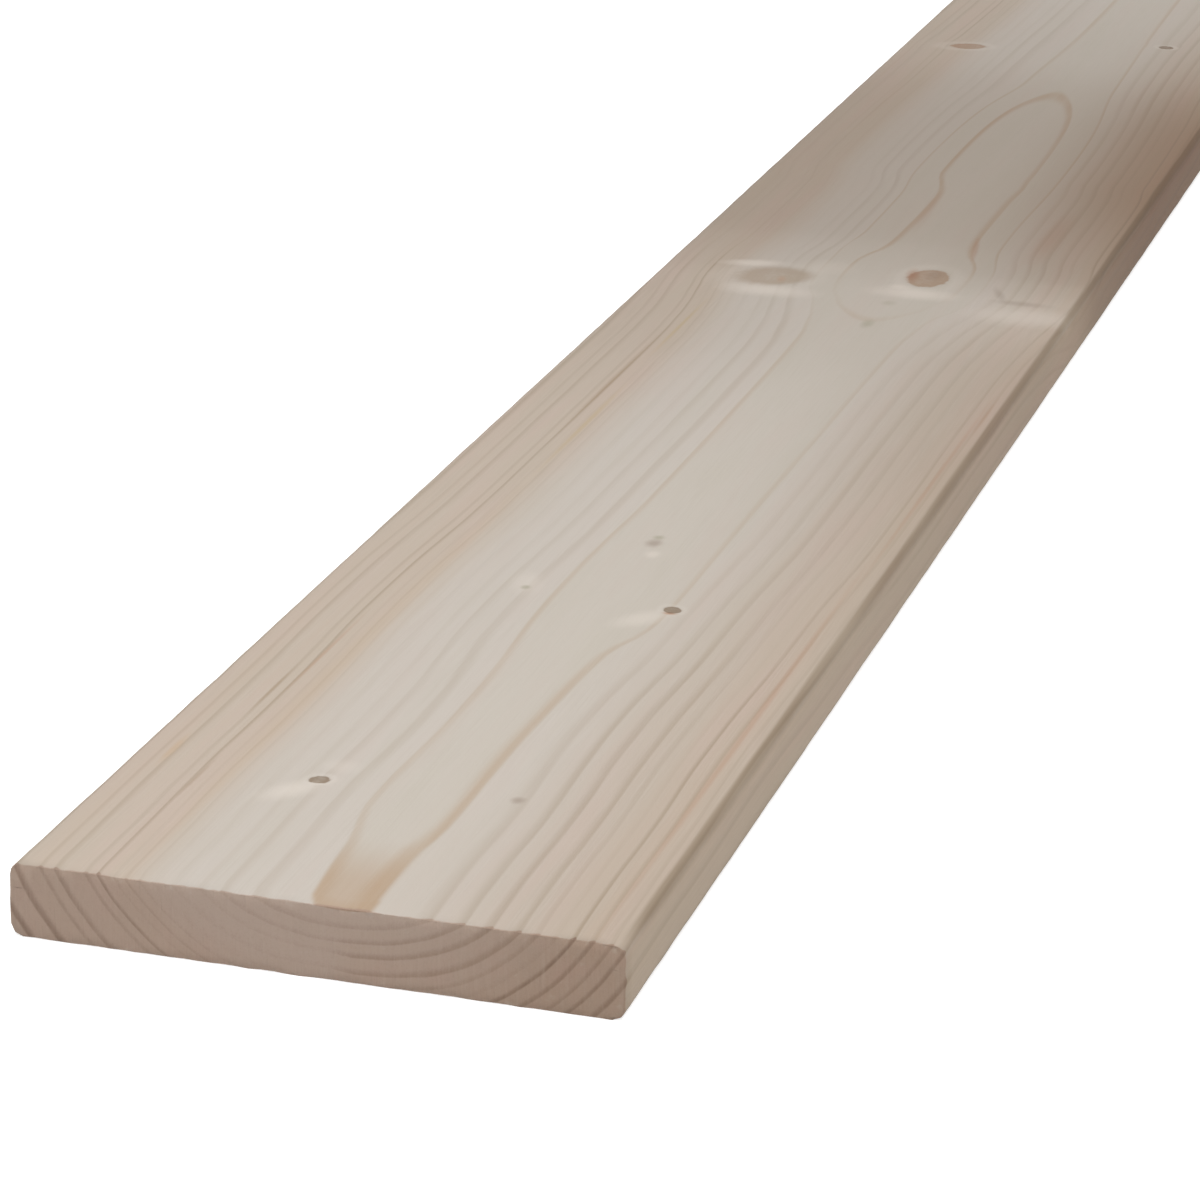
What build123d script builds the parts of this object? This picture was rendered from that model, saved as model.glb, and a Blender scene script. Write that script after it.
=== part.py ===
from build123d import *
import os

# A planed softwood board, sold by the length: four planed faces, both ends sawn square.
# X runs across the width, Y along the length and Z through the thickness.
# The origin is the middle of the face that the board lies on.

length = 1800.0
width = 144.0
thickness = 18.0

# The planer's cutters take the sharpness off the four long edges.
long_edge_radius = 3.0

# Both ends are cross-cut square, and handling has worn only the sharpness off their rims.
sawn_edge_chamfer = 0.4


def board_section():
    """The board's cross-section, standing on the X axis, with its planed corners rounded."""
    outline = RectangleRounded(width, thickness, long_edge_radius)
    upright = Plane.XZ * outline
    return Pos(0, 0, thickness / 2) * upright


def board_blank():
    """The section carried along the length, half to each side of the origin."""
    return extrude(board_section(), amount=length / 2, both=True)


def break_sawn_rims(blank):
    """The blank with the sharp rim of both sawn ends broken."""
    end_faces = blank.faces().filter_by(Axis.Y)
    rims = end_faces.edges()
    return chamfer(rims, sawn_edge_chamfer)


lumber_plank = break_sawn_rims(board_blank())
lumber_plank.label = "lumber_plank"

os.makedirs("parts", exist_ok=True)
export_step(lumber_plank, "parts/lumber_plank.step")
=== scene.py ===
import math
from collections import namedtuple

import bmesh
import bpy
from mathutils import Matrix, Vector


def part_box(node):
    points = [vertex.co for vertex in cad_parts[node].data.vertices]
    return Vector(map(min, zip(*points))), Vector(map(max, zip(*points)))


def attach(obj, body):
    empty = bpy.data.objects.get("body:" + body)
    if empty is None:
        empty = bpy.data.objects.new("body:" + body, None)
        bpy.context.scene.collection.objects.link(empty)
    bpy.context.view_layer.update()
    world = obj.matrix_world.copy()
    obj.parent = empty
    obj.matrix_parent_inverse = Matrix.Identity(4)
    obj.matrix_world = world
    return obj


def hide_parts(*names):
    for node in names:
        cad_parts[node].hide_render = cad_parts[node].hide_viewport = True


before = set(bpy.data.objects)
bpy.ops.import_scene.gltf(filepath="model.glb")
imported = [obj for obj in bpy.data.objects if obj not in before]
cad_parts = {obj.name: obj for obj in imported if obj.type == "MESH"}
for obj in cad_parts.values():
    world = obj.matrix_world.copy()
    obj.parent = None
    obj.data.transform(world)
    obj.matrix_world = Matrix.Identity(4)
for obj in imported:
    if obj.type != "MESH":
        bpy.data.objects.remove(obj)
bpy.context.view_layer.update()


# The board's form: a plank of air-dry spruce, sawn from the log and run through a planer that
# rounds its four long edges. Both ends are cross-cut with a saw and left as the teeth leave them.

plank_low, plank_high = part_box("lumber_plank")
plank_size = plank_high - plank_low
MM = 0.001
planed_edge_radius = 0.003
planed_edge_facets = 6
worn_rim = 0.0004
worn_rim_facets = 2

# The skin has long narrow cells, as the relief that they carry is long too: columns along the
# board that are split twice. The sawn ends have small squares, and the knots finer cells.
column_width = 0.003
lengthwise_splits = (18, 20)
shortest_split = 0.002
end_cell = 0.001
splits_by_a_knot = 4
sharpest_smooth = math.radians(50)
nearly = 0.99

# The branches that the planer has cut through: where each meets the top face in millimetres, across
# from the middle and along from the near end, its radius, how much it is drawn out along the board,
# its look, how far the rings rise over it, how far the grain parts round it, and how pale the swirl
# beside it is.
Knot = namedtuple("Knot", "across along radius stretch look rise parting swirl")
knots = [
    Knot(-22.8, 68.0, 1.9, 1.15, "dead", 0.5, 0.2, 0.6),
    Knot(24.2, 206.5, 2.1, 1.1, "dead", 0.0, 0.0, 0.6),
    Knot(-29.8, 532.5, 7.0, 1.5, "live", 0.0, 0.25, 0.6),
    Knot(17.2, 546.5, 6.4, 1.75, "brown", 0.0, 0.2, 0.7),
    Knot(-44.0, 905.0, 4.0, 1.3, "brown", 1.0, 0.4, 0.7),
    Knot(34.0, 931.0, 2.4, 1.1, "dead", 0.6, 0.3, 0.8),
    Knot(-8.0, 1290.0, 7.5, 1.4, "live", 1.8, 0.4, 0.9),
    Knot(21.0, 1655.0, 2.6, 1.1, "dead", 0.6, 0.3, 0.8),
]


def pick(kind, wanted):
    """Selects the board's faces or edges that a test wants, and nothing else."""
    bpy.ops.mesh.select_mode(type=kind)
    bpy.ops.mesh.select_all(action="DESELECT")
    shape = bmesh.from_edit_mesh(plank.data)
    for item in shape.faces if kind == "FACE" else shape.edges:
        item.select_set(wanted(item))
    bmesh.update_edit_mesh(plank.data)


def runs_lengthwise(edge):
    """Whether an edge lies along the grain."""
    step = edge.verts[1].co - edge.verts[0].co
    return abs(step.y) > nearly * step.length


def is_sawn(face):
    """Whether a face is one of the two sawn ends."""
    return abs(face.normal.y) > nearly


def cut_through(place, direction):
    """Cuts the whole board's skin along one plane."""
    pick("FACE", lambda face: True)
    bpy.ops.mesh.bisect(plane_co=place, plane_no=direction)


def steps_between(first, last, size):
    """Evenly spaced places between two ends, about that far apart, without the ends."""
    count = round((last - first) / size)
    return [first + (last - first) * i / count for i in range(1, count)]


bpy.ops.object.select_all(action="DESELECT")
bpy.ops.mesh.primitive_cube_add(size=1, location=(plank_low + plank_high) / 2, scale=plank_size)
plank = bpy.context.object
plank.name = "planed_plank"
bpy.ops.object.transform_apply(location=True, rotation=True, scale=True)

bpy.ops.object.mode_set(mode="EDIT")
pick("EDGE", runs_lengthwise)
bpy.ops.mesh.bevel(
    offset=planed_edge_radius, segments=planed_edge_facets, profile=0.5, affect="EDGES")
pick("FACE", is_sawn)
bpy.ops.mesh.bevel(offset=worn_rim, segments=worn_rim_facets, profile=0.5, affect="EDGES")

flat_left = plank_low.x + planed_edge_radius
flat_right = plank_high.x - planed_edge_radius
for column in steps_between(flat_left, flat_right, column_width):
    cut_through((column, 0, 0), (1, 0, 0))
flat_bottom = plank_low.z + planed_edge_radius
flat_top = plank_high.z - planed_edge_radius
for layer in steps_between(flat_bottom, flat_top, column_width):
    cut_through((0, 0, layer), (0, 0, 1))

for pieces in lengthwise_splits:
    pick("EDGE", lambda edge: runs_lengthwise(edge) and edge.calc_length() > shortest_split)
    bpy.ops.mesh.subdivide(number_cuts=pieces - 1)
pick("FACE", is_sawn)
bpy.ops.mesh.subdivide(number_cuts=round(column_width / end_cell) - 1)

# The wood has shrunk a little round its knots, so the skin there gets cells fine enough to sink.
# The planer cuts a branch at a slant, which leaves its outline wider than the branch.
slanting_cut = 1.2
knot_reach = 1.5
fine_cell_reach = 2.0


def knot_share(place, knot):
    """How far a place on the top face is from a knot's middle, as a share of the knot's radius."""
    across = place.x / MM - knot.across
    along = (place.y - plank_low.y) / MM - knot.along
    half_wide = knot.radius * slanting_cut
    return math.hypot(across / half_wide, along / (knot.radius * knot.stretch))


def is_by_a_knot(face):
    """Whether a face of the top is on a knot or close to one."""
    middle = face.calc_center_median()
    by_one = any(knot_share(middle, knot) < fine_cell_reach for knot in knots)
    return by_one and face.normal.z > nearly


pick("FACE", is_by_a_knot)
bpy.ops.mesh.subdivide(number_cuts=splits_by_a_knot - 1)
bpy.ops.object.mode_set(mode="OBJECT")
bpy.ops.object.shade_smooth_by_angle(angle=sharpest_smooth)

# A cloudy texture pushes the worn places inwards, so that nothing stands out past the planed size.
# Handling has worn most of each rounding. A dead branch has dried loose and left a gap round
# itself, and the other branches are still fast.
handled_width = planed_edge_radius * 0.8
gap_place = 0.95
gap_width = 0.25
loose_gap = 1.0
fast_gap = 0.35


def wear_away(name, cloud_size, depth, share_of):
    """Sinks the skin's points by up to a depth, times each point's share."""
    group = plank.vertex_groups.new(name=name)
    for point in plank.data.vertices:
        share = share_of(point.co)
        if share > 0:
            group.add([point.index], share, "REPLACE")
    clouds = bpy.data.textures.new(name, "CLOUDS")
    clouds.noise_scale = cloud_size
    sink = plank.modifiers.new(name, "DISPLACE")
    sink.texture = clouds
    sink.texture_coords = "LOCAL"
    sink.vertex_group = name
    sink.mid_level = 0
    sink.strength = -depth
    bpy.ops.object.modifier_apply(modifier=name)


def on_sawn_end(place):
    """1 on the two sawn faces."""
    return float(abs(place.y) > plank_high.y - worn_rim / 2)


def on_sawn_rim(place):
    """1 on the rims of the two sawn faces, and less beside them."""
    past_side = abs(place.x) - plank_high.x
    past_face = abs(place.z - plank_size.z / 2) - plank_size.z / 2
    from_end = plank_high.y - abs(place.y)
    return (from_end < worn_rim * 1.5) * max(0.0, 1 + max(past_side, past_face) / (worn_rim * 3))


def on_long_edge(place):
    """1 on the four rounded edges."""
    past_side = abs(place.x) > plank_high.x - handled_width
    past_face = abs(place.z - plank_size.z / 2) > plank_size.z / 2 - handled_width
    return float(past_side and past_face)


def round_knots(place):
    """Deepest at the outline of a knot that has dried loose, and shallower at one that is fast."""
    if place.z < plank_high.z - worn_rim:
        return 0.0
    deepest = 0.0
    for knot in knots:
        share = min(knot_share(place, knot), knot_reach)
        most = loose_gap if knot.look == "dead" else fast_gap
        gap = math.exp(-((share - gap_place) / gap_width) ** 2)
        deepest = max(deepest, most * gap * (1 - (share / knot_reach) ** 4))
    return deepest


wear_away("torn_fibres", cloud_size=0.0011, depth=0.0002, share_of=on_sawn_end)
wear_away("saw_waves", cloud_size=0.007, depth=0.0003, share_of=on_sawn_end)
wear_away("chipped_rims", cloud_size=0.0024, depth=0.0005, share_of=on_sawn_rim)
wear_away("handled_edges", cloud_size=0.016, depth=0.0003, share_of=on_long_edge)
wear_away("shrunk_knots", cloud_size=0.0016, depth=0.0006, share_of=round_knots)

# The OFBake map keeps the board's colours in one square picture. The grain runs lengthwise, so that
# picture has the board in strips, half its length each, which are stretched across the grain.
strip_gap = 0.006
end_share = 0.49
strip_heights = {
    "near top": 0.215, "far top": 0.215, "near bottom": 0.13, "far bottom": 0.13,
    "near right": 0.04, "far right": 0.04, "near left": 0.035, "far left": 0.035, "end": 0.09}


def strip_of(face):
    """The strip of the picture that one of the board's faces goes on."""
    if abs(face.normal.y) > 0.5:
        return "end"
    half = "near " if face.center.y < 0 else "far "
    if abs(face.normal.z) > 0.7:
        return half + ("top" if face.normal.z > 0 else "bottom")
    return half + ("right" if face.normal.x > 0 else "left")


picture = plank.data.uv_layers.new(name="OFBake")
strip_starts = {}
filled = strip_gap
for strip, height in strip_heights.items():
    strip_starts[strip] = filled
    filled += height + strip_gap
for face in plank.data.polygons:
    strip = strip_of(face)
    for corner in face.loop_indices:
        place = plank.data.vertices[plank.data.loops[corner].vertex_index].co
        shares = [(place[i] - plank_low[i]) / plank_size[i] for i in range(3)]
        if strip == "end":
            lengthwise = shares[0] * end_share + (0 if face.center.y < 0 else 1 - end_share)
        else:
            lengthwise = shares[1] * 2 - (0 if face.center.y < 0 else 1)
        crosswise = shares[0] if strip.endswith(("top", "bottom")) else shares[2]
        height = strip_starts[strip] + crosswise * strip_heights[strip]
        picture.uv[corner].vector = (lengthwise, height)

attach(plank, "root")
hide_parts("lumber_plank")


# The board's wood: spruce, cut from beside the log's middle, so that its year rings run the length
# of the face and arch over each other on the ends. Branches from the pith cross it as knots.


class Shade:
    """A number, colour or place in a shader. Sums written on it add Math nodes."""

    nodes = None
    links = None

    def __init__(self, socket):
        self.socket = socket

    @classmethod
    def node(cls, kind, settings, inputs, output=0):
        """Adds a node of that kind, with its settings first and then its inputs."""
        made = cls.nodes.new("ShaderNode" + kind)
        for name, value in settings.items():
            if name == "curve":
                curve = made.mapping.curves[0]
                while len(curve.points) < len(value):
                    curve.points.new(0.5, 0.5)
                for point, place in zip(curve.points, value):
                    point.location = place
                made.mapping.update()
            else:
                setattr(made, name, value)
        for name, value in inputs.items():
            if isinstance(value, Shade):
                cls.links.new(value.socket, made.inputs[name])
            else:
                made.inputs[name].default_value = value
        return cls(made.outputs[output])

    def maths(self, operation, *others):
        """Adds a Math node that works on this and any others."""
        places = dict(enumerate((self, *others)))
        return Shade.node("Math", {"operation": operation}, places)

    def __add__(self, other):
        return self.maths("ADD", other)

    __radd__ = __add__

    def __sub__(self, other):
        return self.maths("SUBTRACT", other)

    def __rsub__(self, other):
        return Shade.node("Math", {"operation": "SUBTRACT"}, {0: other, 1: self})

    def __mul__(self, other):
        return self.maths("MULTIPLY", other)

    __rmul__ = __mul__

    def __truediv__(self, other):
        return self.maths("DIVIDE", other)

    def __pow__(self, other):
        return self.maths("POWER", other)

    def step(self, first, last, most=1.0):
        """Goes smoothly from 0 to the most, as this goes from first to last, whichever is lower."""
        ends = {"Value": self, "From Min": first, "From Max": last, "To Max": most}
        return Shade.node("MapRange", {"interpolation_type": "SMOOTHSTEP"}, ends)

    def bell(self, width, most=1.0):
        """The most where this is 0, fading away over about that width to either side."""
        return (self * self * (-1 / width ** 2)).maths("EXPONENT") * most


def vector_maths(operation, first, second, output=0):
    """Adds a Vector Math node for two places or directions."""
    return Shade.node("VectorMath", {"operation": operation}, {0: first, 1: second}, output)


def scaled(direction, amount):
    """A direction made longer or shorter."""
    return Shade.node("VectorMath", {"operation": "SCALE"}, {0: direction, "Scale": amount})


def length_of(direction):
    """How long a direction is."""
    return Shade.node("VectorMath", {"operation": "LENGTH"}, {0: direction}, "Value")


def part_of(place, axis):
    """One of a place's three readings."""
    return Shade.node("SeparateXYZ", {}, {0: place}, axis)


def clouds_in(place, scale, detail):
    """Soft noise from about -0.5 to 0.5."""
    return Shade.node("TexNoise", {}, {"Vector": place, "Scale": scale, "Detail": detail}) - 0.5


def curve_of(reading, points):
    """A value that follows a smooth curve of another, through given points."""
    places = [place for place, value in points]
    values = [value for place, value in points]
    start, span = places[0], places[-1] - places[0]
    low, rise = min(values), max(values) - min(values)
    curve = [((place - start) / span, (value - low) / rise) for place, value in points]
    share = (reading - start) / span
    return Shade.node("FloatCurve", {"curve": curve}, {"Value": share}) * rise + low


def blend(base, colour, amount):
    """One colour laid over another by an amount from 0 to 1."""
    keys = {0: amount, 6: base, 7: colour}
    return Shade.node("Mix", {"data_type": "RGBA", "clamp_factor": True}, keys, 2)


def tinted(base, tint):
    """A colour seen through a tint."""
    settings = {"data_type": "RGBA", "blend_type": "MULTIPLY"}
    return Shade.node("Mix", settings, {0: 1.0, 6: base, 7: tint}, 2)


def either_side(left, right):
    """One value to the left of the pith and another to its right."""
    return left * (1 - right_side) + right * right_side


def srgb(red, green, blue):
    """A colour as the eye sees it, 0 to 255, in the linear light that shaders use."""
    parts = [part / 255 for part in (red, green, blue)]
    return (*(p / 12.92 if p < 0.04045 else ((p + 0.055) / 1.055) ** 2.4 for p in parts), 1)


wood = bpy.data.materials.new("planed_spruce")
wood.use_nodes = True
Shade.nodes = wood.node_tree.nodes
Shade.links = wood.node_tree.links

# Places in the wood are in millimetres: across from the middle, along from the near sawn end, and
# up from the face that it lies on.
object_place = Shade.node("TexCoord", {}, {}, "Object")
to_millimetres = {
    "Vector": object_place, "Location": (0, -plank_low.y / MM, 0), "Scale": (1 / MM,) * 3}
spot = Shade.node("Mapping", {}, to_millimetres)
across = part_of(spot, "X")
along = part_of(spot, "Y")
up = part_of(spot, "Z")
board_top = plank_size.z / MM
board_length = plank_size.y / MM
half_width = plank_size.x / MM / 2

# Clouds in the wood. All but the specks are drawn out along the grain.
drift = clouds_in(vector_maths("MULTIPLY", spot, (1, 0.15, 1)), scale=0.07, detail=2)
along_the_grain = vector_maths("MULTIPLY", spot, (1, 0.02, 1))
streaks = clouds_in(along_the_grain, scale=0.3, detail=3)
blotches = clouds_in(vector_maths("MULTIPLY", spot, (1, 0.08, 1)), scale=0.11, detail=2)
fibres = clouds_in(along_the_grain, scale=2.4, detail=4)
specks = clouds_in(spot, scale=0.45, detail=2)

# Each knot is a cone that starts at the pith and leans a little towards the near end. The grain
# parts round it, the rings rise over it, and pale wood swirls round it. A live knot's own wood runs
# into the wood round it. Distances from a knot's middle are shares of its radius.
pith_in_middle = Vector((7.5, 0, 35))
branch_lean = -10
branch_taper = 0.014
rim_place = 0.92
rim_darkness = 0.3
swirl_place = 1.45
swirl_width = 0.35
parting_reach = 1.9
rise_reach = 2.2
knot_tints = {
    "dead": (0.48, 0.41, 0.34, 1), "live": (0.80, 0.73, 0.66, 1), "brown": (0.74, 0.60, 0.50, 1)}
knot_softness = {"dead": 0.15, "live": 0.35, "brown": 0.12}
parting = (0, 0, 0)
ring_rise = 0.0
knot_tint = (1, 1, 1, 1)
clear_of_knots = 1.0
swirl = 0.0
ragged = drift * 0.4 + specks * 0.3
knot_figure = streaks * 0.5 + (specks * 12).maths("SINE") * 0.06 + 0.9
for knot in knots:
    outward = Vector((knot.across, branch_lean, 0)) - pith_in_middle
    outward = tuple(outward.normalized())
    offset = vector_maths("SUBTRACT", spot, (knot.across, knot.along, board_top))
    depth = vector_maths("DOT_PRODUCT", offset, outward, "Value")
    sideways = vector_maths("SUBTRACT", offset, scaled(outward, depth))
    girth = (depth * (knot.radius * branch_taper) + knot.radius).maths("MAXIMUM", knot.radius / 2)
    narrowed = vector_maths("MULTIPLY", sideways, (1, 1 / knot.stretch, 1))
    share = length_of(narrowed) / girth + ragged
    softness = knot_softness[knot.look]
    inside = share.step(1 + softness, 1 - softness)
    rim = (share - rim_place).bell(softness, rim_darkness)
    knot_tint = blend(knot_tint, knot_tints[knot.look], inside * knot_figure + rim)
    clear_of_knots = (1 - inside) * clear_of_knots
    swirl = (share - swirl_place).bell(swirl_width, knot.swirl) + swirl
    if knot.parting:
        pushed = scaled(sideways, share.bell(parting_reach, knot.parting))
        parting = vector_maths("ADD", parting, pushed)
    if knot.rise:
        ring_rise = share.bell(rise_reach, knot.rise) + ring_rise
swirl = swirl * (blotches * 1.6 + 0.8)

# The pith wanders above the top face, and comes down towards it where the large knots spring. Each
# pair is a distance along and how far across the pith is there, or how high over the face.
pith_across = curve_of(along, [
    (0, 7.2), (60, 6.5), (150, 6.3), (240, 7.9), (300, 9.3), (420, 9.5), (516, 10.4), (564, 9.9),
    (600, 9.9), (650, 10.2), (690, 7.5), (850, 7), (1050, 10), (1300, 6), (1550, 9),
    (board_length, 7)])
pith_height = curve_of(along, [
    (0, 36.1), (30, 36.3), (60, 35.9), (110, 36.8), (150, 36), (190, 34.7), (300, 34.8),
    (420, 35.3), (470, 33.4), (490, 31.2), (516, 26.2), (545, 23.3), (572, 26), (600, 28.1),
    (650, 28.3), (700, 26.5), (850, 32), (1050, 34), (1250, 33), (1290, 30), (1340, 32),
    (1550, 35), (board_length, 34.5)])
grain = vector_maths("SUBTRACT", spot, parting)
from_pith_across = part_of(grain, "X") - pith_across

# The rings lie a little closer straight under the pith, and the outer ones waver along the board.
closer_reach = 22
closer_share = 0.2
waver = 0.9
below_top = board_top - part_of(grain, "Z")
from_pith_down = below_top * (from_pith_across.bell(closer_reach) * closer_share + 1) + pith_height
right_side = from_pith_across.step(-4, 4)
true_radius = (from_pith_across ** 2 + from_pith_down ** 2).maths("SQRT")
radius = true_radius + drift * true_radius.step(37, 44) * waver - ring_rise

# One of the inner rings swells and shrinks on its own. Where its two lines run across the top is
# given along the board, and the years inside and outside it are stretched to fit them.
inner_left = curve_of(along, [
    (0, -0.2), (22, -2.7), (36, -3.9), (50, -6.4), (65, -7.5), (90, -7), (130, -6.4),
    (210, -9.2), (250, -8.6), (300, -6.8), (450, -6.5), (480, -8.2), (500, -11.2), (516, -14.8),
    (535, -19), (575, -19), (600, -16.4), (650, -16.4), (700, -19), (850, -9), (1100, -3),
    (1290, -14), (1500, -4), (board_length, -6)])
inner_right = curve_of(along, [
    (0, 14.8), (15, 12.9), (35, 13.4), (55, 15.2), (90, 14.9), (130, 15.6), (170, 17.6),
    (210, 24.3), (250, 24.4), (350, 25), (450, 26), (480, 27.8), (500, 31), (516, 36.5),
    (540, 38), (572, 35.8), (600, 33.6), (700, 35), (850, 28), (1100, 24), (1290, 28),
    (1500, 22), (board_length, 19)])
inner_ring = 36.6
years_outside = (41.4, 38.6)
years_inside = (32.5, 35)
left_radius = ((inner_left - pith_across) ** 2 + pith_height ** 2).maths("SQRT")
right_radius = ((inner_right - pith_across) ** 2 + pith_height ** 2).maths("SQRT")
swell = either_side(left_radius, right_radius) - inner_ring
radius = radius - swell * radius.step(*years_outside) * radius.step(*years_inside)

# Each year ring to the left and right of the pith: its outer radius, how dark its late wood is, and
# how warm its wood. The log grew a little lopsided, and the outer wood is the warmer.
rings_left = [
    (20.0, 0.2, 0.0), (31.4, 0.45, 0.0), (inner_ring, 0.25, 0.0), (41.9, 0.22, 0.0),
    (46.1, 0.18, 0.0), (49.4, 0.09, 0.0), (53.9, 0.08, 0.1), (57.5, 0.05, 0.3),
    (60.1, 0.14, 0.5), (62.7, 0.22, 0.75), (65.0, 0.1, 0.8), (68.3, 0.55, 0.8),
    (70.8, 0.25, 0.75), (77.1, 0.36, 0.75), (80.2, 0.22, 0.8), (86.0, 0.5, 0.8),
    (92.0, 0.5, 0.8)]
rings_right = [
    (20.0, 0.3, 0.0), (31.4, 0.5, 0.0), (inner_ring, 0.36, 0.05), (41.7, 0.24, 0.15),
    (45.8, 0.37, 0.3), (49.9, 0.45, 0.45), (54.7, 0.4, 0.6), (58.0, 0.2, 0.65),
    (61.2, 0.08, 0.75), (64.4, 0.6, 0.85), (68.1, 0.35, 0.95), (71.7, 0.25, 0.9),
    (74.8, 0.4, 0.9), (79.0, 0.4, 0.9), (84.0, 0.4, 0.9), (92.0, 0.4, 0.9)]


def by_ring(readings):
    """A value that changes from ring to ring, given a list of readings for each side."""
    return either_side(*(curve_of(radius, points) for points in readings))


both_sides = (rings_left, rings_right)
year = by_ring([[(ring[0], count) for count, ring in enumerate(rings)] for rings in both_sides])
darkness = by_ring([[ring[:2] for ring in rings] for rings in both_sides])
warmth = by_ring([[(ring[0], ring[2]) for ring in rings] for rings in both_sides])

# Late wood darkens slowly through a year and ends sharply with it, and nearest the pith it is thin.
# A season goes from 0 to 1 between the middles of two years, so a year ends halfway through it.
darkest_from = 0.46
darkest_to = 0.48
season = (year + 0.5).maths("FRACT")
near_pith = year.step(2.06, 1.99)
band_start = near_pith * 0.28 + year.step(7, 9, 0.12) + 0.05
band_end = year.step(2.2, 2.6, 0.06) + 0.54
late = season.step(band_start, darkest_from) * season.step(band_end, darkest_to)

# It is fainter to the right of the pith past the small knots, to the left of the pith past the
# large knots, and nearest the pith beside them.
beside_large_knots = 518
faint_right = along.step(130, 210) * (along.step(590, 530) * 0.25 + 0.2) * right_side
past_large_knots = along.step(530, 570) * along.step(1000, 800)
faint_left = past_large_knots * true_radius.step(46, 56) * (1 - right_side)
faint_near_knots = near_pith * (along - beside_large_knots).bell(38)
clearness = (1 - faint_right) * (1 - faint_left * 0.75) * (1 - faint_near_knots * 0.85)
late = late * darkness * (streaks * 1.2 + 1) * clearness * swirl.step(1.6, 0) * clear_of_knots

# The wood is palest beside the pith and warmer towards both edges, with pink and olive patches. It
# is soaked with resin round the pith at the near end, and bright where the grain swirls.
pale_wood = srgb(202, 193, 183)
warm_wood = srgb(194, 177, 160)
heart_wood = srgb(197, 189, 176)
pink_wood = srgb(203, 179, 168)
olive_wood = srgb(189, 182, 164)
late_wood = srgb(160, 142, 120)
inner_wood = srgb(172, 138, 100)
soaked_wood = srgb(168, 126, 76)
swirled_wood = srgb(226, 218, 208)
bright_fibre = srgb(218, 210, 200)
surface = blend(pale_wood, warm_wood, warmth + streaks * 0.5)
surface = blend(surface, heart_wood, near_pith * 0.4)
surface = blend(surface, pink_wood, blotches * (warmth * 1.2 + 0.5))
surface = blend(surface, olive_wood, blotches * -0.7)
surface = blend(surface, blend(late_wood, inner_wood, near_pith), late)
surface = blend(surface, soaked_wood, near_pith * along.step(42, 12, 0.38))
surface = blend(surface, swirled_wood, swirl * 0.4)
surface = blend(surface, late_wood, fibres * -0.3 - streaks * (warmth * 0.4 + 0.15))
surface = blend(surface, bright_fibre, fibres * 0.4)

# Resin streaks, stains and pale patches: the place of each across and along, half its width and
# length, its turn in degrees, its colour and how strong it is.
mark_depth = 5
resin = srgb(150, 124, 92)
rust = srgb(176, 128, 96)
amber = srgb(196, 160, 118)
straw = srgb(190, 168, 128)
chalk = srgb(228, 218, 207)
peach = srgb(205, 178, 158)
umber = srgb(150, 132, 118)
moss = srgb(160, 154, 130)
marks = [
    (-49.0, 400, 0.9, 50, 0, resin, 0.4),
    (-50.8, 148, 0.6, 26, 0, rust, 0.3),
    (-54.2, 120, 0.5, 15, 0, resin, 0.4),
    (-50.6, 60, 0.5, 12, 0, resin, 0.3),
    (-62.5, 75, 1.0, 9, 0, amber, 0.35),
    (-45.5, 462, 0.8, 30, 0, straw, 0.5),
    (-44.0, 355, 0.9, 40, 0, straw, 0.5),
    (-44.0, 150, 2.4, 140, 0, amber, 0.15),
    (64.6, 120, 0.9, 120, 0, rust, 0.3),
    (66.0, 330, 0.8, 80, 0, rust, 0.3),
    (67.5, 398, 0.7, 18, 0, rust, 0.25),
    (47.5, 610, 4.0, 32, 0, rust, 0.25),
    (-1.5, 632, 2.2, 28, 3, rust, 0.16),
    (25.0, 588, 1.1, 15, 8, rust, 0.4),
    (-26.5, 60.5, 4.2, 9, -35, chalk, 0.5),
    (-21.0, 77, 5.0, 4, 0, chalk, 0.2),
    (18.5, 197.5, 4.2, 9, -38, chalk, 0.4),
    (24.4, 203.6, 2.0, 1.1, 0, rust, 0.7),
    (-18.0, 214, 4.0, 8, 15, chalk, 0.25),
    (7.3, 247, 2.0, 3, 0, chalk, 0.4),
    (-43.0, 545.5, 9.0, 4.0, 14, chalk, 0.8),
    (-29.0, 514, 14.0, 7, 0, chalk, 0.65),
    (-18.0, 548, 9.0, 9, 0, chalk, 0.25),
    (17.5, 526, 13.0, 6.5, 0, chalk, 0.65),
    (58.0, 510, 18.0, 10, 0, chalk, 0.45),
    (53.0, 525.5, 9.0, 3, -3, umber, 0.35),
    (44.5, 534, 1.6, 8, 20, umber, 0.35),
    (25.3, 70.4, 1.7, 2.0, 0, umber, 0.55),
    (5.0, 256, 2.3, 3.2, 0, umber, 0.6),
    (5.0, 261, 1.6, 1.8, 0, moss, 0.6),
    (-17.4, 210.8, 1.3, 1.6, 0, moss, 0.6),
    (-28.6, 529, 1.6, 4, 10, peach, 0.6),
    (12.0, 548, 2.2, 8, 8, rust, 0.55),
    (11.0, 532.5, 4.0, 3, 0, chalk, 0.5),
    (19.0, 550, 2.6, 6, 0, umber, 0.25),
    (12.0, 512, 2.4, 3, 0, moss, 0.3),
    (11.0, 486, 2.0, 5, 0, moss, 0.5),
]
for mark_across, mark_along, half_wide, half_long, mark_turn, colour, strength in marks:
    placing = {
        "Vector": spot, "Location": (mark_across, mark_along, board_top),
        "Rotation": (0, 0, math.radians(mark_turn)), "Scale": (half_wide, half_long, mark_depth)}
    from_mark = length_of(Shade.node("Mapping", {"vector_type": "TEXTURE"}, placing))
    surface = blend(surface, colour, (from_mark + ragged).step(1.5, 0.15, strength))
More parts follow.
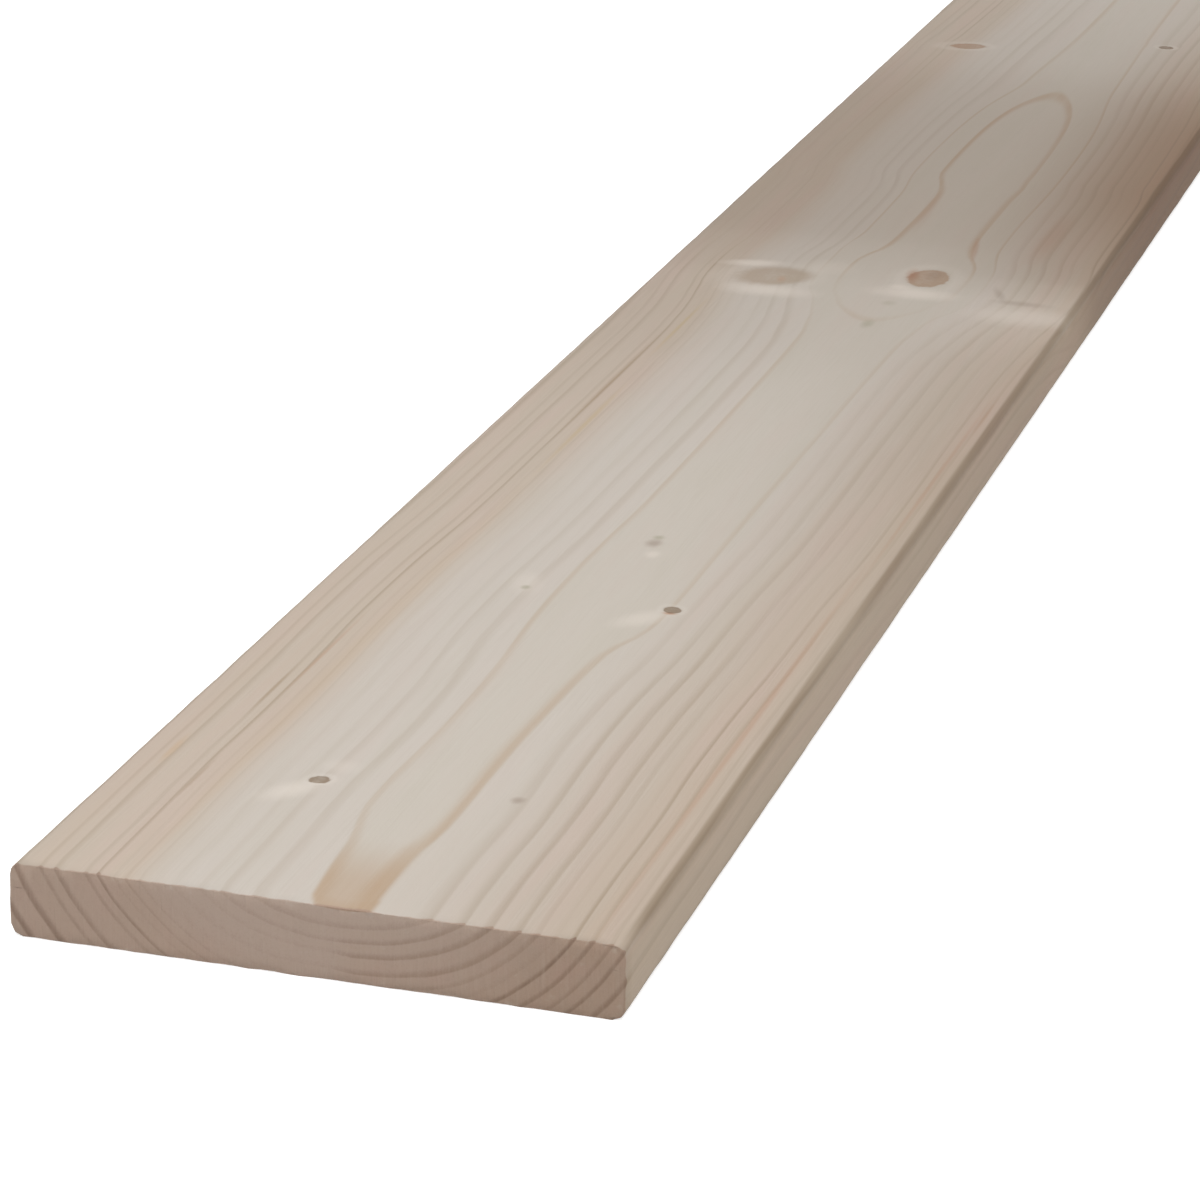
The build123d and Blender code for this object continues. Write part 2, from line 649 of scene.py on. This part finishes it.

# The knots' own wood, then a darkening past the large knots and towards the right edge: partly
# the wood's own deeper colour, partly painted shade.
surface = tinted(surface, knot_tint)
tone_and_shade_tint = (0.66, 0.61, 0.57, 1)
deepest_tone_and_shade_tint = (0.68, 0.58, 0.49, 1)
tone_and_shade_left = curve_of(along, [
    (0, 0), (320, 0.01), (400, 0.08), (480, 0.24), (516, 0.26), (540, 0.4), (580, 0.63),
    (620, 0.82), (740, 0.84), (900, 0.4), (1200, 0.15), (board_length, 0.15)])
tone_and_shade_right = curve_of(along, [
    (0, 0.24), (100, 0.2), (200, 0.25), (300, 0.38), (400, 0.49), (480, 0.34), (515, 0.24),
    (535, 0.45), (550, 0.65), (580, 0.92), (620, 0.92), (740, 0.88), (900, 0.5), (1200, 0.25),
    (board_length, 0.25)])
to_right = across.step(0, 62)
tone_and_shade = tone_and_shade_left * (1 - to_right) + tone_and_shade_right * to_right
surface = blend(surface, tinted(surface, tone_and_shade_tint), tone_and_shade)
# Darkest on the right past the large knots: partly deeper wood, partly painted shade.
deepest = along.step(530, 690) * along.step(980, 760) * across.step(5, 68)
surface = blend(surface, tinted(surface, deepest_tone_and_shade_tint), deepest)

# The rounding of the long edges is darker, down to a ragged border: partly dark late wood and
# partly painted shade of the rounded edge. The sides are a little yellower than the faces, and
# get painted shade that darkens them towards the large knots.
shade_and_late_wood_tint = (0.63, 0.59, 0.52, 1)
side_tint = (1.0, 0.965, 0.9, 1)
side_shade_tint = (0.80, 0.72, 0.66, 1)
past_face = across.maths("ABSOLUTE") - (half_width - planed_edge_radius / MM)
past_side = (up - board_top / 2).maths("ABSOLUTE") - (board_top / 2 - planed_edge_radius / MM)
# Painted shade on the rounded long edges, with dark late wood there too.
rounding = (past_face + streaks).step(0.3, 1.5) * (past_side + ragged).step(-0.4, 1.8)
rounding = rounding * (blotches * 1.5 + 0.9) * along.step(-8, 24) * (right_side * 0.6 + 0.4)
surface = blend(surface, tinted(surface, shade_and_late_wood_tint), rounding)
on_side = past_face.step(2.6, 3)
surface = blend(surface, tinted(surface, side_tint), on_side)
# Painted shade on the sides, darker towards the large knots.
painted_side_shade = on_side * along.step(360, 640) * along.step(1100, 800)
surface = blend(surface, tinted(surface, side_shade_tint), painted_side_shade)

# On the sawn ends the open pores drink light and the saw has left fine upright scratches. The
# ends' colour runs a little past their rims, further in late wood. Their rings are clearest towards
# the board's edges.
pale_end = srgb(203, 190, 179)
open_pore_tint = (0.83, 0.725, 0.675, 1)
end_ring = srgb(118, 92, 78)
scratched_end = srgb(196, 178, 162)
from_end = board_length / 2 - (along - board_length / 2).maths("ABSOLUTE")
cut = from_end.step(0.9, 0.5)
sawn = (from_end - late * 2 - specks).step(0.9, 0.4)
scratches = clouds_in(vector_maths("MULTIPLY", spot, (1, 1, 0.07)), scale=1.6, detail=3)
pores = clouds_in(spot, scale=2.2, detail=2)
end_grain = blend(surface, pale_end, 0.5 - to_right * 0.4)
end_grain = tinted(end_grain, open_pore_tint)
ring_strength = across.maths("ABSOLUTE").step(35, 66, 0.4) + 0.45
end_grain = blend(end_grain, end_ring, late * ring_strength + pores * 0.3)
end_grain = blend(end_grain, scratched_end, scratches * 0.6)
surface = blend(surface, end_grain, sawn)

# Planed late wood is smoother than the early wood, the sawn ends are the roughest, and the fibres
# stand up a little.
fibre_height = 0.00025
plain_roughness = 0.66
roughness = fibres * 0.12 - late * 0.08 + cut * 0.15 + plain_roughness
height = fibres * 0.5 * (1 - cut) + scratches * cut * 1.2
relief = Shade.node("Bump", {}, {"Height": height, "Distance": fibre_height, "Strength": 0.6})

finish = wood.node_tree.nodes["Principled BSDF"]
finish.inputs["Specular IOR Level"].default_value = 0.25
wood.node_tree.links.new(roughness.socket, finish.inputs["Roughness"])
wood.node_tree.links.new(relief.socket, finish.inputs["Normal"])
wood.node_tree.links.new(surface.socket, finish.inputs["Base Color"])
plank.data.materials.append(wood)


# The stage: a plain white floor under a soft sky and two softboxes, the brighter one over the near
# end and a faint one over the far end. The camera stands where the photo was taken.


def seen_plainly():
    """1 for what the camera sees, straight, in a gloss or through glass, and 0 for what lights."""
    path = Shade.node("LightPath", {}, {}, "Is Camera Ray")
    others = path.socket.node.outputs
    rays = path + Shade(others["Is Glossy Ray"]) + Shade(others["Is Transmission Ray"])
    return rays.maths("MINIMUM", 1)


floor_size = 60
floor_grey = (0.8, 0.8, 0.8, 1)
floor_glow = (0.72, 0.72, 0.72, 1)
bpy.ops.object.select_all(action="DESELECT")
bpy.ops.mesh.primitive_plane_add(size=floor_size, location=(0, 0, plank_low.z))
floor = bpy.context.object
floor.name = "floor"

paper = bpy.data.materials.new("white_floor")
paper.use_nodes = True
Shade.nodes = paper.node_tree.nodes
Shade.links = paper.node_tree.links
paper_finish = paper.node_tree.nodes["Principled BSDF"]
paper_finish.inputs["Base Color"].default_value = floor_grey
paper_finish.inputs["Roughness"].default_value = 1.0
paper_finish.inputs["Specular IOR Level"].default_value = 0.0
paper_finish.inputs["Emission Strength"].default_value = 1.0
glow = blend((0, 0, 0, 1), floor_glow, seen_plainly())
paper.node_tree.links.new(glow.socket, paper_finish.inputs["Emission Color"])
floor.data.materials.append(paper)

world = bpy.data.worlds.new("studio")
world.use_nodes = True
bpy.context.scene.world = world
Shade.nodes = world.node_tree.nodes
Shade.links = world.node_tree.links
sky_light = 0.35
sky = world.node_tree.nodes["Background"]
sky.inputs["Color"].default_value = (1, 1, 1, 1)
sky_strength = seen_plainly() * (1 - sky_light) + sky_light
world.node_tree.links.new(sky_strength.socket, sky.inputs["Strength"])

softbox_size = 1.0
softbox_height = 1.15


def hang_softbox(name, place, aim, watts, spread):
    """Hangs a square lamp at a place, facing a point by the board, its light spread that wide."""
    lamp_data = bpy.data.lights.new(name, "AREA")
    lamp_data.shape = "SQUARE"
    lamp_data.size = softbox_size
    lamp_data.energy = watts
    lamp_data.spread = math.radians(spread)
    lamp = bpy.data.objects.new(name, lamp_data)
    lamp.location = place
    lamp.rotation_euler = (Vector(aim) - lamp.location).to_track_quat("-Z", "Y").to_euler()
    bpy.context.scene.collection.objects.link(lamp)


hang_softbox(
    "near_softbox", place=(0.12, plank_low.y - 0.14, softbox_height),
    aim=(0, plank_low.y + 0.35, 0), watts=11.5, spread=180)
hang_softbox(
    "far_softbox", place=(-0.12, plank_high.y + 0.14, softbox_height),
    aim=(0, plank_high.y - 0.25, 0), watts=1.3, spread=55)

# The camera, solved from the board's straight edges in the photo: how far it is turned off the
# board's length, tipped down and rolled, and where it stands from the near end.
view_turn = math.radians(16.357)
view_down = math.radians(19.906)
view_roll = math.radians(0.8174)
camera_data = bpy.data.cameras.new("camera")
camera_data.lens = 126.05
camera_data.sensor_width = 36
camera_data.clip_end = 100
camera = bpy.data.objects.new("camera", camera_data)
turn = Matrix.Rotation(view_turn, 3, "Z") @ Matrix.Rotation(math.pi / 2 - view_down, 3, "X")
camera.rotation_euler = (turn @ Matrix.Rotation(view_roll, 3, "Z")).to_euler()
camera.location = (0.2968, plank_low.y - 0.7896, 0.3943)
bpy.context.scene.collection.objects.link(camera)
bpy.context.scene.camera = camera

bpy.context.scene.view_settings.view_transform = "Standard"
